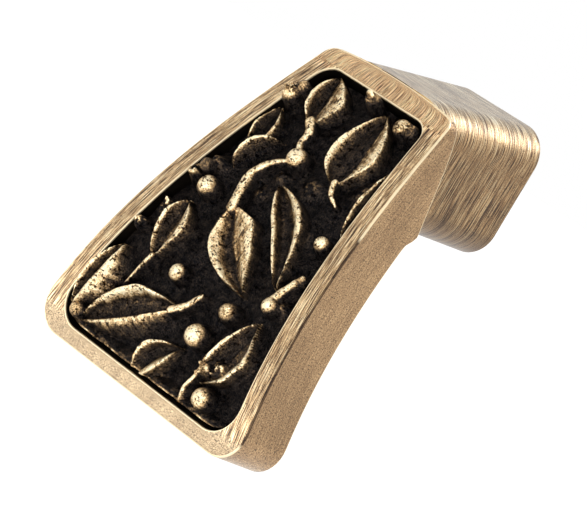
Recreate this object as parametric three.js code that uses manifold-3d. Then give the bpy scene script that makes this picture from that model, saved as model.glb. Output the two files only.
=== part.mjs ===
// Finger pull for a cabinet or drawer: a bent, tapered brass plate on a short mounting block,
// with a cast panel of leaves and berries set in its face. Millimetres, +Z up.
// The origin lies on the mounting face, on the centre line, level with the plate's top edge.
// The pull stands out of the furniture along -Y.

import * as THREE from "three";
import { LoftGeometry } from "three/addons/geometries/LoftGeometry.js";
import { mergeVertices } from "three/addons/utils/BufferGeometryUtils.js";
import Module from "manifold-3d";

const wasm = await Module();
wasm.setup();

// Plate: its face is measured along its own curve, from the top edge down
const FACE_LENGTH = 46;
const TOP_WIDTH = 20.9;
const FOOT_WIDTH = 37;
const TOP_CORNER_RADIUS = 1.8;
const FOOT_CORNER_RADIUS = 3.7;
const TOP_EDGE_BOW = 0.6;
const PLATE_THICKNESS = 7.1;
const TOP_LEAN = THREE.MathUtils.degToRad(27);
const FOOT_LEAN = THREE.MathUtils.degToRad(-6);
const LEAN_EASE = 1.75;

// Shoulder: the plate's upper back, where the mounting block grows out of it
const SHOULDER_THICKNESS = 1.75;
const SHOULDER_ROUNDING = 6;
const TOP_EDGE_LAND = 0.5;
const SHOULDER_FILLET = 1.4;

// Mounting block, from the plate back to the mounting face
const BLOCK_REACH = 19;
const BLOCK_NECK_WIDTH = 17;
const BLOCK_BASE_WIDTH = 17.8;
const BLOCK_NECK_TOP = 0.45;
const BLOCK_BASE_TOP = 3.2;
const BLOCK_NECK_BOTTOM = -14.6;
const BLOCK_BASE_BOTTOM = -13.1;
const BLOCK_TOP_RADIUS = 3.9;
const BLOCK_BOTTOM_RADIUS = 3.6;
const BLOCK_ROOT_COVER = 0.6;

// Blind screw hole in the mounting face
const SCREW_HOLE_DIAMETER = 3.4;
const SCREW_HOLE_DEPTH = 12;
const SCREW_HOLE_MOUTH = 0.5;
const SCREW_HOLE_BELOW_TOP_EDGE = 4.9;

// Recess for the panel
const SIDE_BORDER = 2.45;
const TOP_BORDER = 2.4;
const FOOT_BORDER = 2;
const RECESS_DEPTH = 3;
const RECESS_TOP_RADIUS = 2.3;
const RECESS_FOOT_RADIUS = 3.4;

// Cast panel
const PANEL_CLEARANCE = 0.3;
const PANEL_FOOT_GAP = 0.7;
const PANEL_GROUND_DEPTH = 1.5;
const RELIEF_ROOT = 0.4;
const RELIEF_CEILING = 3;

// Fineness of the curves
const FACE_STEPS = 26;
const CORNER_STEPS = 5;
const LEAF_STEPS = 9;
const STEM_STEPS = 9;
const STEM_SIDES = 6;
const BERRY_SIDES = 10;
const BERRY_RINGS = 4;
const HOLE_SIDES = 28;
const MERGE_DISTANCE = 1e-4;

// Leaves: stem end and tip on the face as [across, down], sideways bend of the midrib towards
// the leaf's left seen from its stem, and each half as [reach of its crest from the midrib, crest
// height over the ground, fullness from 0, dished, to 1, plump]
const LEAVES = [
  { stem: [-4.1, 9.7], tip: [-6.5, 2.8], bend: 0.1, left: [1.6, 1.9, 0.1], right: [3.3, 1.9, 0.6] },
  { stem: [5, 14.1], tip: [2.6, 3.6], bend: -0.7, left: [3.7, 1.9, 0.1], right: [3.2, 2.1, 0.6] },
  { stem: [-8.4, 15.7], tip: [-9.2, 9.6], bend: 0, left: [1.1, 1.3, 0], right: [2.6, 1.3, 0] },
  { stem: [-8, 18.6], tip: [-5.1, 13.1], bend: 0.4, left: [1.1, 1.9, 0.3], right: [2.1, 0.9, 0] },
  { stem: [-3.4, 22.6], tip: [5.2, 29.7], bend: -0.7, left: [3.1, 2.1, 0.7], right: [2.1, 2, 0.6] },
  { stem: [8.5, 26.9], tip: [-0.5, 17.7], bend: -1, left: [1.5, 1.9, 0], right: [2.1, 2, 0] },
  { stem: [7.9, 9.4], tip: [9.9, 18.4], bend: 0, left: [1.3, 1.6, 0], right: [1, 1.2, 0] },
  { stem: [-8.2, 32.2], tip: [-9.1, 25.1], bend: 0, left: [1.4, 1.9, 0], right: [3.1, 2, 0.6] },
  { stem: [-12.2, 31.1], tip: [-11.1, 24.9], bend: 0, left: [0.6, 2, 0.4], right: [1.8, 2, 0] },
  { stem: [-12.2, 33.2], tip: [-13.7, 41.6], bend: -0.5, left: [2.6, 2.6, 0.8], right: [1.2, 2.7, 0] },
  { stem: [-0.8, 35.6], tip: [-11.5, 42.2], bend: 0.5, left: [2.1, 2, 0.5], right: [3.7, 2.1, 0.6] },
  { stem: [-0.4, 44.2], tip: [3.7, 39], bend: 0.6, left: [1.6, 1.9, 0], right: [2, 1.9, 0.3] },
  { stem: [7.7, 40], tip: [9.7, 31.9], bend: -0.6, left: [1.6, 1.9, 0], right: [3.2, 1.8, 0] },
  { stem: [9.8, 28.1], tip: [10.9, 24.1], bend: -0.2, left: [0.7, 1.9, 0.5], right: [1.5, 1.8, 0.4] },
];
const GROOVE_HEIGHT = 0.36;
const CREST_WALL = 0.45;
const EDGE_HEIGHT = 0.3;
const LEAF_END_WIDTH = 0.1;
const LEAF_END_HEIGHT = 0.55;

// Berries: centre on the face as [across, down], radius, and height of the top over the ground
const BERRIES = [
  { at: [-1.15, 14], radius: 1.35, top: 2.6 },
  { at: [5.9, 4.1], radius: 1.05, top: 2.2 },
  { at: [7.2, 3.7], radius: 0.75, top: 1.9 },
  { at: [0.1, 3.3], radius: 1.05, top: 2.8 },
  { at: [-8.2, 6.6], radius: 0.9, top: 2.9 },
  { at: [-8.7, 8.1], radius: 0.95, top: 2.8 },
  { at: [-7.9, 22.3], radius: 1.35, top: 2.6 },
  { at: [-10.3, 20.4], radius: 1, top: 2.6 },
  { at: [-10.5, 22.6], radius: 1, top: 2.8 },
  { at: [9.9, 20.4], radius: 1, top: 2.1 },
  { at: [-3.3, 32.1], radius: 1.15, top: 2.2 },
  { at: [5.9, 32.4], radius: 1.15, top: 2.2 },
  { at: [4.1, 36.5], radius: 1.3, top: 2.5 },
  { at: [9.7, 41.6], radius: 1.4, top: 2.5 },
  { at: [10.2, 29.2], radius: 1.05, top: 2.4 },
  { at: [-12.4, 42], radius: 0.8, top: 2.1 },
];

// Stems: points on the face as [across, down], radius, and height of the crest over the ground
const STEMS = [
  { along: [[-3.8, 9.6], [-2.8, 10.7], [-2.7, 12.2], [-1.6, 13.6]], radius: 0.5, top: 1.9 },
  { along: [[5.3, 13.9], [5.9, 15.2], [7.4, 16]], radius: 0.4, top: 1.7 },
  { along: [[-1.4, 14.8], [-3.5, 16.3], [-4.6, 19], [-3.4, 22.7]], radius: 0.65, top: 2.1 },
  { along: [[-7.9, 32.2], [-8.4, 34], [-9, 36.4]], radius: 0.4, top: 1.7 },
  { along: [[-0.8, 35.9], [0.7, 34.4], [1.5, 32.7]], radius: 0.5, top: 2.1 },
  { along: [[7.6, 39.2], [6.7, 41.2], [6.6, 43.2]], radius: 0.35, top: 1.9 },
];

const CASTING_TOP_Y = -BLOCK_REACH;
const SIDE_FLARE = (FOOT_WIDTH - TOP_WIDTH) / 2 / FACE_LENGTH;
const SIDE_SECANT = Math.hypot(1, SIDE_FLARE);
const RELIEF_GROUND = -PANEL_GROUND_DEPTH;

// How far the face leans out at a distance down it, in radians
function leanAt(down) {
  const share = THREE.MathUtils.clamp(down / FACE_LENGTH, 0, 1);
  return TOP_LEAN + (FOOT_LEAN - TOP_LEAN) * share ** LEAN_EASE;
}

// The face's centre line: y and z at a distance down from the top edge
function faceLine(down) {
  const steps = 48;
  const step = down / steps;
  let y = CASTING_TOP_Y;
  let z = 0;
  for (let i = 0; i < steps; i += 1) {
    const lean = leanAt((i + 0.5) * step);
    y -= Math.sin(lean) * step;
    z -= Math.cos(lean) * step;
  }
  return { y, z };
}

// A point across the face, down it, and out of it along its normal
function onFace(across, down, out) {
  const { y, z } = faceLine(down);
  const lean = leanAt(down);
  return new THREE.Vector3(across, y - Math.cos(lean) * out, z + Math.sin(lean) * out);
}

// A closed triangle mesh as a solid that can be joined and cut
function solidOf(geometry) {
  const bare = new THREE.BufferGeometry();
  bare.setAttribute("position", geometry.getAttribute("position"));
  bare.setIndex(geometry.getIndex());
  const merged = mergeVertices(bare, MERGE_DISTANCE);
  const vertProperties = merged.attributes.position.array;
  const triVerts = new Uint32Array(merged.index.array);
  return new wasm.Manifold(new wasm.Mesh({ numProp: 3, vertProperties, triVerts }));
}

// A joined or cut solid as a geometry again
function geometryOf(solid) {
  const { vertProperties, triVerts } = solid.getMesh();
  const geometry = new THREE.BufferGeometry();
  geometry.setAttribute("position", new THREE.BufferAttribute(vertProperties, 3));
  geometry.setIndex(new THREE.BufferAttribute(triVerts, 1));
  geometry.computeVertexNormals();
  return geometry;
}

// Bends a shape modelled flat (x across, y up from the top edge, z out) onto the curved face
function wrapOnFace(geometry) {
  const places = geometry.attributes.position;
  for (let i = 0; i < places.count; i += 1) {
    const placed = onFace(places.getX(i), -places.getY(i), places.getZ(i));
    places.setXYZ(i, placed.x, placed.y, placed.z);
  }
  return geometry;
}

// Half the plate's width at a distance down the face, less a border
const halfWidth = (down, border) => TOP_WIDTH / 2 + SIDE_FLARE * down - border;

// Rows of a tapered outline with round corners, from its top to its foot
function outlineRows({ top, foot, border, topRadius, footRadius }) {
  const rows = [];
  const sideAngle = Math.atan(SIDE_FLARE);
  const corner = (middle, radius, from, to) => {
    const centre = halfWidth(middle, border) - radius * SIDE_SECANT;
    for (let i = 0; i <= CORNER_STEPS; i += 1) {
      const angle = from + ((to - from) * i) / CORNER_STEPS;
      const down = middle - radius * Math.sin(angle);
      rows.push({ down, half: centre + radius * Math.cos(angle) });
    }
  };
  corner(top + topRadius, topRadius, Math.PI / 2, sideAngle);
  const first = rows.at(-1).down;
  const last = foot - footRadius - footRadius * Math.sin(sideAngle);
  for (let i = 1; i < FACE_STEPS; i += 1) {
    const down = first + ((last - first) * i) / FACE_STEPS;
    rows.push({ down, half: halfWidth(down, border) });
  }
  corner(foot - footRadius, footRadius, sideAngle, -Math.PI / 2);
  return rows;
}

// A pad that follows the face between two levels
function facePad(rows, low, high) {
  const sections = rows.map(({ down, half }) => [
    new THREE.Vector3(-half, -down, low),
    new THREE.Vector3(half, -down, low),
    new THREE.Vector3(half, -down, high),
    new THREE.Vector3(-half, -down, high),
  ]);
  return solidOf(wrapOnFace(new LoftGeometry(sections, { capStart: true, capEnd: true })));
}

// Where the plate's back lies at a place on its face: a thin rounded shoulder on the block, then
// a fillet under the block, then the plate's full thickness
function backOf({ y, z }) {
  const drop = Math.max(0, -z);
  const rounding = 1 - Math.min(drop / SHOULDER_ROUNDING, 1);
  const swell = (SHOULDER_THICKNESS - TOP_EDGE_LAND) * Math.sqrt(1 - rounding ** 2);
  const shoulder = CASTING_TOP_Y + TOP_EDGE_LAND + swell;
  const underBlock = (drop + BLOCK_BASE_BOTTOM) / SHOULDER_FILLET;
  const share = THREE.MathUtils.clamp(underBlock, 0, 1);
  return shoulder + (Math.min(shoulder, y + PLATE_THICKNESS) - shoulder) * share;
}

// The bent plate, as level slices from its bowed top edge to its foot
function bentPlate() {
  const rows = outlineRows({
    top: 0,
    foot: FACE_LENGTH,
    border: 0,
    topRadius: TOP_CORNER_RADIUS,
    footRadius: FOOT_CORNER_RADIUS,
  });
  const topHalf = rows[0].half;
  for (const share of [0.75, 0.5, 0.2]) {
    rows.unshift({ down: -TOP_EDGE_BOW * (1 - share ** 2), half: topHalf * share });
  }
  const sections = rows.map(({ down, half }) => {
    const front = faceLine(down);
    const back = backOf(front);
    return [
      new THREE.Vector3(-half, front.y, front.z),
      new THREE.Vector3(-half, back, front.z),
      new THREE.Vector3(half, back, front.z),
      new THREE.Vector3(half, front.y, front.z),
    ];
  });
  return solidOf(new LoftGeometry(sections, { capStart: true, capEnd: true }));
}

// A rounded section of the block; depthAt gives y at a height
function blockSection(width, top, bottom, depthAt) {
  const corners = [
    { x: width / 2 - BLOCK_BOTTOM_RADIUS, z: bottom + BLOCK_BOTTOM_RADIUS, r: BLOCK_BOTTOM_RADIUS },
    { x: width / 2 - BLOCK_TOP_RADIUS, z: top - BLOCK_TOP_RADIUS, r: BLOCK_TOP_RADIUS },
    { x: BLOCK_TOP_RADIUS - width / 2, z: top - BLOCK_TOP_RADIUS, r: BLOCK_TOP_RADIUS },
    { x: BLOCK_BOTTOM_RADIUS - width / 2, z: bottom + BLOCK_BOTTOM_RADIUS, r: BLOCK_BOTTOM_RADIUS },
  ];
  const steps = CORNER_STEPS * 2;
  const ring = [];
  corners.forEach(({ x, z, r }, quarter) => {
    for (let i = 0; i <= steps; i += 1) {
      const angle = ((quarter - 1 + i / steps) * Math.PI) / 2;
      const height = z + r * Math.sin(angle);
      ring.push(new THREE.Vector3(x + r * Math.cos(angle), depthAt(height), height));
    }
  });
  return ring;
}

// How far down the face a height lies
function downAtHeight(height) {
  let down = -height / Math.cos(TOP_LEAN);
  for (let i = 0; i < 6; i += 1) {
    down += faceLine(down).z - height;
  }
  return down;
}

// The mounting block, from just behind the face to the flat mounting face
function mountingBlock() {
  const root = (height) => faceLine(downAtHeight(height)).y + BLOCK_ROOT_COVER;
  const sections = [
    blockSection(BLOCK_BASE_WIDTH, BLOCK_BASE_TOP, BLOCK_BASE_BOTTOM, () => 0),
    blockSection(BLOCK_NECK_WIDTH, BLOCK_NECK_TOP, BLOCK_NECK_BOTTOM, root),
  ];
  return solidOf(new LoftGeometry(sections, { capStart: true, capEnd: true }));
}

// The drilled hole with a countersunk mouth and a drill point, turned about its axis
function screwHole() {
  const radius = SCREW_HOLE_DIAMETER / 2;
  const profile = [
    new THREE.Vector2(0, -SCREW_HOLE_DEPTH - radius / 2),
    new THREE.Vector2(radius, -SCREW_HOLE_DEPTH),
    new THREE.Vector2(radius, -SCREW_HOLE_MOUTH),
    new THREE.Vector2(radius + 2 * SCREW_HOLE_MOUTH, SCREW_HOLE_MOUTH),
    new THREE.Vector2(0, SCREW_HOLE_MOUTH),
  ];
  const hole = new THREE.LatheGeometry(profile, HOLE_SIDES);
  hole.translate(0, 0, -SCREW_HOLE_BELOW_TOP_EDGE);
  return solidOf(hole);
}

function recess() {
  const rows = outlineRows({
    top: TOP_BORDER,
    foot: FACE_LENGTH - FOOT_BORDER,
    border: SIDE_BORDER,
    topRadius: RECESS_TOP_RADIUS,
    footRadius: RECESS_FOOT_RADIUS,
  });
  return facePad(rows, -RECESS_DEPTH, RELIEF_CEILING);
}

// The panel's outline: the recess's, drawn in by the clearance
function panelRows() {
  return outlineRows({
    top: TOP_BORDER + PANEL_CLEARANCE,
    foot: FACE_LENGTH - FOOT_BORDER - PANEL_FOOT_GAP,
    border: SIDE_BORDER + PANEL_CLEARANCE * SIDE_SECANT,
    topRadius: RECESS_TOP_RADIUS - PANEL_CLEARANCE,
    footRadius: RECESS_FOOT_RADIUS - PANEL_CLEARANCE,
  });
}

// Half of a leaf's section from its midrib to its edge: places and heights over the ground
function leafHalf([reach, crest, fullness]) {
  const rise = (share) => GROOVE_HEIGHT + (1 - GROOVE_HEIGHT) * share;
  const points = [
    [0.5 * reach, rise(0.2 + 0.6 * fullness)],
    [0.82 * reach, rise(0.75 + 0.2 * fullness)],
    [reach, 1 - 0.1 * fullness],
    [reach + CREST_WALL, EDGE_HEIGHT],
  ];
  return points.map(([place, height]) => [place, height * crest]);
}

// A leaf: a blade pointed at both ends, with two halves on either side of a groove
function leaf({ stem, tip, bend, left, right }) {
  const start = new THREE.Vector2(stem[0], -stem[1]);
  const run = new THREE.Vector2(tip[0], -tip[1]).sub(start);
  const side = new THREE.Vector2(-run.y, run.x).normalize();
  const groove = (GROOVE_HEIGHT * (left[1] + right[1])) / 2;
  const surface = [
    ...leafHalf(left).reverse(),
    [0, groove],
    ...leafHalf(right).map(([place, height]) => [-place, height]),
  ];
  const ring = [
    [-right[0] - CREST_WALL, -RELIEF_ROOT],
    [left[0] + CREST_WALL, -RELIEF_ROOT],
    ...surface,
  ];
  const sections = [];
  for (let i = 0; i <= LEAF_STEPS; i += 1) {
    const share = i / LEAF_STEPS;
    const swell = Math.sin(Math.PI * share ** 0.85);
    const spread = LEAF_END_WIDTH + (1 - LEAF_END_WIDTH) * swell ** 0.85;
    const rise = LEAF_END_HEIGHT + (1 - LEAF_END_HEIGHT) * swell ** 0.6;
    const middle = start.clone().addScaledVector(run, share);
    middle.addScaledVector(side, bend * Math.sin(Math.PI * share));
    sections.push(
      ring.map(([place, height]) => {
        const spot = middle.clone().addScaledVector(side, place * spread);
        const lift = height > 0 ? height * rise : height;
        return new THREE.Vector3(spot.x, spot.y, RELIEF_GROUND + lift);
      }),
    );
  }
  return solidOf(wrapOnFace(new LoftGeometry(sections, { capStart: true, capEnd: true })));
}

// A berry: a dome on an upright skirt that runs down into the ground, as a mould leaves it
function berry({ at: [across, down], radius, top }) {
  const skirt = [new THREE.Vector2(0, -RELIEF_ROOT), new THREE.Vector2(radius, -RELIEF_ROOT)];
  const dome = [];
  for (let i = 0; i <= BERRY_RINGS; i += 1) {
    const angle = (i / BERRY_RINGS) * (Math.PI / 2);
    const out = i === BERRY_RINGS ? 0 : radius * Math.cos(angle);
    dome.push(new THREE.Vector2(out, top - radius + radius * Math.sin(angle)));
  }
  const turned = new THREE.LatheGeometry([...skirt, ...dome], BERRY_SIDES);
  turned.rotateX(Math.PI / 2);
  turned.translate(across, -down, RELIEF_GROUND);
  return solidOf(wrapOnFace(turned));
}

// A stem: a rod along a smooth line, round on top, with upright sides down into the ground
function stem({ along, radius, top }) {
  const line = new THREE.CatmullRomCurve3(
    along.map(([across, down]) => new THREE.Vector3(across, -down, RELIEF_GROUND)),
  );
  const sections = [];
  for (let i = 0; i <= STEM_STEPS; i += 1) {
    const spot = line.getPoint(i / STEM_STEPS);
    const way = line.getTangent(i / STEM_STEPS);
    const side = new THREE.Vector3(-way.y, way.x, 0);
    const at = (place, height) =>
      spot.clone().addScaledVector(side, place).add(new THREE.Vector3(0, 0, height));
    const ring = [at(-radius, -RELIEF_ROOT), at(radius, -RELIEF_ROOT)];
    for (let j = 0; j <= STEM_SIDES; j += 1) {
      const angle = (j / STEM_SIDES) * Math.PI;
      ring.push(at(radius * Math.cos(angle), top - radius + radius * Math.sin(angle)));
    }
    sections.push(ring);
  }
  return solidOf(wrapOnFace(new LoftGeometry(sections, { capStart: true, capEnd: true })));
}

// Bent plate, block, recess and screw hole: one casting
function pullBody() {
  return bentPlate().add(mountingBlock()).subtract(recess()).subtract(screwHole());
}

// Panel ground with all its relief: one casting, trimmed to its outline
function reliefInsert() {
  const rows = panelRows();
  const ground = facePad(rows, PANEL_CLEARANCE - RECESS_DEPTH, RELIEF_GROUND);
  const raised = [...LEAVES.map(leaf), ...BERRIES.map(berry), ...STEMS.map(stem)];
  const relief = raised.reduce((all, one) => all.add(one));
  const room = facePad(rows, RELIEF_GROUND - RELIEF_ROOT, RELIEF_CEILING);
  return ground.add(relief.intersect(room));
}

function piece(name, solid, material) {
  const mesh = new THREE.Mesh(geometryOf(solid), material);
  mesh.name = name;
  return mesh;
}

const BRUSHED_BRASS = new THREE.MeshStandardMaterial({
  color: 0xb08f5f,
  roughness: 0.42,
  metalness: 1,
  flatShading: true,
});
const DARKENED_BRASS = new THREE.MeshStandardMaterial({
  color: 0x6e5630,
  roughness: 0.5,
  metalness: 1,
  flatShading: true,
});

const fingerPull = new THREE.Group();
fingerPull.add(piece("pull_body", pullBody(), BRUSHED_BRASS));
fingerPull.add(piece("relief_insert", reliefInsert(), DARKENED_BRASS));

export default fingerPull;
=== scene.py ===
# %% [markdown]
# # Finger pull in cast, brushed brass
# A small pull for a drawer or a door: a bent plate that widens towards its foot, a block behind
# it that stands on the furniture, and a cast panel of leaves and berries set in the plate's face.

# %% Load the measured frame
import math

import bpy
import numpy as np
from mathutils import Matrix


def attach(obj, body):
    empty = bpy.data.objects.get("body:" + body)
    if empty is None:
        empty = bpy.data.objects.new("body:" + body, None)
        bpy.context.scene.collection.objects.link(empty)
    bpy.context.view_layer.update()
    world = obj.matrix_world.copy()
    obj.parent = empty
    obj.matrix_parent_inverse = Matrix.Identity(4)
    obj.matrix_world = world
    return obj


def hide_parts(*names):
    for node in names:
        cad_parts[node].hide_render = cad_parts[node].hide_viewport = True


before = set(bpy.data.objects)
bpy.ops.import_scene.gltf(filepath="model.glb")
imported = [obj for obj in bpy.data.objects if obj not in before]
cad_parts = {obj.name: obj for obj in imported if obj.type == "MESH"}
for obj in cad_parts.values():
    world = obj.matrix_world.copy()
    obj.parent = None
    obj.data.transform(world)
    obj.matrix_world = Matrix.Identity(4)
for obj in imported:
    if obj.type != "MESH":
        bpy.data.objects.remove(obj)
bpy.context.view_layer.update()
MM = 0.001
print("nodes:", sorted(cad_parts))

# %% [markdown]
# ## The curve of the face
# Every size below is in millimetres. The plate's face is not flat: it leans out by 27 degrees at
# the top and tucks in by 6 degrees at the foot. Places on it are given as across, down along its
# own curve, and out of it. One function turns them into places in space, so plate, recess and
# panel all follow the same bend.

# %% Sizes and the bend
FACE_LENGTH = 46.0
TOP_WIDTH = 20.9
FOOT_WIDTH = 37.0
TOP_LEAN = math.radians(27)
FOOT_LEAN = math.radians(-6)
LEAN_EASE = 1.75
PLATE_THICKNESS = 7.1
BLOCK_REACH = 19.0
SIDE_FLARE = (FOOT_WIDTH - TOP_WIDTH) / 2 / FACE_LENGTH
SIDE_SECANT = math.hypot(1, SIDE_FLARE)

table_down = np.linspace(-2, 48, 5001)
table_share = np.clip(table_down / FACE_LENGTH, 0, 1)
table_lean = TOP_LEAN + (FOOT_LEAN - TOP_LEAN) * table_share ** LEAN_EASE
table_step = table_down[1] - table_down[0]
table_y = -np.cumsum(np.sin(table_lean)) * table_step
table_z = -np.cumsum(np.cos(table_lean)) * table_step
table_y += -BLOCK_REACH - np.interp(0, table_down, table_y)
table_z -= np.interp(0, table_down, table_z)


def face_line(down):
    """y, z and lean of the face at a distance down it."""
    y = np.interp(down, table_down, table_y)
    z = np.interp(down, table_down, table_z)
    return (y, z, np.interp(down, table_down, table_lean))


def on_face(across, down, out):
    """Places in space of points given on the face."""
    y, z, lean = face_line(down)
    return np.stack([across, y - np.cos(lean) * out, z + np.sin(lean) * out], axis=-1)


print("foot of the face: y %.2f, z %.2f mm" % tuple(face_line(FACE_LENGTH)[:2]))

# %% [markdown]
# ## Working by rings
# A casting like this is easiest to shape as a stack of outlines, each extruded from the last and
# then set to its own size, which is also how its wooden pattern would be checked with templates.
# An outline starts as a circle primitive; its points are pushed to their places, and every next
# outline is an edge extrusion.

# %% Ring tools
def deselect():
    if bpy.context.object and bpy.context.object.mode != "OBJECT":
        bpy.ops.object.mode_set(mode="OBJECT")
    bpy.ops.object.select_all(action="DESELECT")


def places(obj):
    flat = np.empty(len(obj.data.vertices) * 3)
    obj.data.vertices.foreach_get("co", flat)
    return flat.reshape(-1, 3)


def set_places(obj, points):
    obj.data.vertices.foreach_set("co", np.ascontiguousarray(points, dtype=float).ravel())
    obj.data.update()


def pick(obj, indices):
    """Selects just these vertices, in vertex mode, ready for an operator."""
    bpy.ops.object.mode_set(mode="EDIT")
    bpy.ops.mesh.select_mode(type="VERT")
    bpy.ops.mesh.select_all(action="DESELECT")
    bpy.ops.object.mode_set(mode="OBJECT")
    flags = np.zeros(len(obj.data.vertices), dtype=bool)
    flags[list(indices)] = True
    obj.data.vertices.foreach_set("select", flags)
    bpy.ops.object.mode_set(mode="EDIT")
    bpy.ops.mesh.select_mode(type="VERT")


def first_ring(name, ring):
    deselect()
    bpy.ops.mesh.primitive_circle_add(vertices=len(ring), fill_type="NOTHING", radius=MM)
    obj = bpy.context.object
    obj.name = obj.data.name = name
    set_places(obj, ring)
    return obj, list(range(len(ring)))


def next_ring(obj, last, ring):
    """Extrudes the last ring and moves each new point to its place on the new one."""
    before = places(obj)
    pick(obj, last)
    bpy.ops.mesh.extrude_region_move()
    bpy.ops.object.mode_set(mode="OBJECT")
    after = places(obj)
    made = {tuple(np.round(after[i], 9)): i for i in range(len(before), len(after))}
    new = [made[tuple(np.round(before[i], 9))] for i in last]
    after[new] = ring
    set_places(obj, after)
    return new


# %% [markdown]
# Where a casting ends, its outline is closed with faces. An end that is bent later is closed row
# by row, since one big face would stay flat.

# %% Closing an outline
def cap(obj, ring):
    pick(obj, ring)
    bpy.ops.mesh.edge_face_add()
    bpy.ops.object.mode_set(mode="OBJECT")


def cap_in_rows(obj, ring):
    """Closes a symmetric ring with one face for each pair of rows, so that it can be bent."""
    half = len(ring) // 2
    left, right = ring[:half], ring[half:][::-1]
    for i in range(half - 1):
        pick(obj, [left[i], left[i + 1], right[i], right[i + 1]])
        bpy.ops.mesh.edge_face_add()
        bpy.ops.object.mode_set(mode="OBJECT")


def outward(obj):
    pick(obj, range(len(obj.data.vertices)))
    bpy.ops.mesh.normals_make_consistent(inside=False)
    bpy.ops.object.mode_set(mode="OBJECT")


# %% [markdown]
# Drill and milling cutter are shapes of their own here. A Boolean takes them away from the casting,
# or joins two shapes, and is applied at once, so the mesh that stays is the finished one.

# %% Cutting, joining and smoothing
def apply_boolean(obj, other, operation):
    deselect()
    obj.select_set(True)
    bpy.context.view_layer.objects.active = obj
    bpy.ops.object.modifier_add(type="BOOLEAN")
    modifier = obj.modifiers[-1]
    modifier.operation = operation
    modifier.solver = "EXACT"
    modifier.object = other
    bpy.ops.object.modifier_apply(modifier=modifier.name)
    bpy.data.objects.remove(other, do_unlink=True)


def smooth(obj, degrees):
    deselect()
    obj.select_set(True)
    bpy.context.view_layer.objects.active = obj
    bpy.ops.object.shade_smooth_by_angle(angle=math.radians(degrees))


def report_piece(obj):
    tris = sum(len(p.vertices) - 2 for p in obj.data.polygons)
    size = (places(obj).max(0) - places(obj).min(0)) / MM
    print(obj.name, "%d triangles, %.1f x %.1f x %.1f mm" % (tris, *size))


# %% [markdown]
# ## The plate
# The plate's outline is a tapered rectangle with round corners and a slightly bowed top edge. The
# rings run from the face over its outer edge and down the side to the back. Each edge gets three
# rings, because brushing breaks a cast edge to a radius of about 0.2 mm, and that radius is what
# catches the light.

# %% Outline of the plate and of its recess
TOP_CORNER = 1.8
FOOT_CORNER = 3.7
TOP_BOW = 0.6
TOP_BORDER = 2.4
SIDE_BORDER = 2.45
FOOT_BORDER = 2.0
RECESS_TOP_CORNER = 2.3
RECESS_FOOT_CORNER = 3.4


def half_width(down, border):
    return TOP_WIDTH / 2 + SIDE_FLARE * down - border


def outline(top, foot, border, top_radius, foot_radius, bow=0.0):
    """Half an outline as rows of (half width, down), from the middle of the top to the foot."""
    side = math.atan(SIDE_FLARE)
    rows = []
    for middle, radius, start, end in (
        (top + top_radius, top_radius, math.pi / 2, side),
        (foot - foot_radius, foot_radius, side, -math.pi / 2),
    ):
        centre = half_width(middle, border) - radius * SIDE_SECANT
        angles = np.linspace(start, end, 11)
        rows.append(np.stack([centre + radius * np.cos(angles), middle - radius * np.sin(angles)], 1))
    down = rows[0][-1, 1] + (rows[1][0, 1] - rows[0][-1, 1]) * np.linspace(0, 1, 60)[1:-1] ** 1.25
    sides = np.stack([half_width(down, border), down], 1)
    share = np.array([0.12, 0.3, 0.5, 0.7, 0.87] if bow else [])
    first = np.stack([rows[0][0, 0] * share, top - bow * (1 - share ** 2)], 1)
    return np.concatenate([first, rows[0], sides, rows[1]])


def ring_of(rows, level):
    """A closed flat ring: down the left, up the right, at one level."""
    left = np.stack([-rows[:, 0], -rows[:, 1], np.full(len(rows), level)], 1)
    right = np.stack([rows[:, 0], -rows[:, 1], np.full(len(rows), level)], 1)
    return np.concatenate([left, right[::-1]]) * MM


def plate_outline(inset):
    side = inset * SIDE_SECANT
    foot = FACE_LENGTH - inset
    return outline(inset, foot, side, TOP_CORNER - inset, FOOT_CORNER - inset, TOP_BOW)


def recess_outline(grow):
    top = TOP_BORDER - grow
    foot = FACE_LENGTH - FOOT_BORDER + grow
    side = SIDE_BORDER - grow * SIDE_SECANT
    return outline(top, foot, side, RECESS_TOP_CORNER + grow, RECESS_FOOT_CORNER + grow)


print("rows of the plate's outline:", len(plate_outline(0)))

# %% [markdown]
# The plate is built flat first, since its outline and its broken edges are easiest to draw there.

# %% Shape the plate flat
EDGE = 0.2
BACK_LEVEL = -10.0
BACK_BREAK = 0.06
rings = [
    (plate_outline(EDGE), 0),
    (plate_outline(0.3 * EDGE), -0.3 * EDGE),
    (plate_outline(0), -EDGE),
    (plate_outline(0), BACK_LEVEL + EDGE),
    (plate_outline(BACK_BREAK), BACK_LEVEL + BACK_BREAK),
    (plate_outline(EDGE), BACK_LEVEL),
]
plate, ring = first_ring("pull_casting", ring_of(*rings[0]))
face_ring = ring
for rows, level in rings[1:]:
    ring = next_ring(plate, ring, ring_of(rows, level))
cap_in_rows(plate, face_ring)
cap_in_rows(plate, ring)
report_piece(plate)

# %% [markdown]
# The flat plate is then bent, as the pattern maker would bend a board over a former. Its back is
# rounded behind the top edge, runs straight down behind the block, and follows the face below it,
# so the plate keeps one thickness where the fingers reach behind it.

# %% Bend the plate
TOP_DEPTH = 0.5
SHOULDER_DEPTH = 1.75
SHOULDER_DROP = 6.0
SLOPE_START = 13.1
SLOPE_DROP = 1.4


def back_of(y, z):
    """y of the plate's back at the height of a place on its face."""
    drop = np.maximum(0, -z)
    rounding = 1 - np.minimum(drop / SHOULDER_DROP, 1)
    rise = np.sqrt(1 - rounding ** 2)
    shoulder = -BLOCK_REACH + TOP_DEPTH + (SHOULDER_DEPTH - TOP_DEPTH) * rise
    share = np.clip((drop - SLOPE_START) / SLOPE_DROP, 0, 1)
    return shoulder + (np.minimum(shoulder, y + PLATE_THICKNESS) - shoulder) * share


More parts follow.
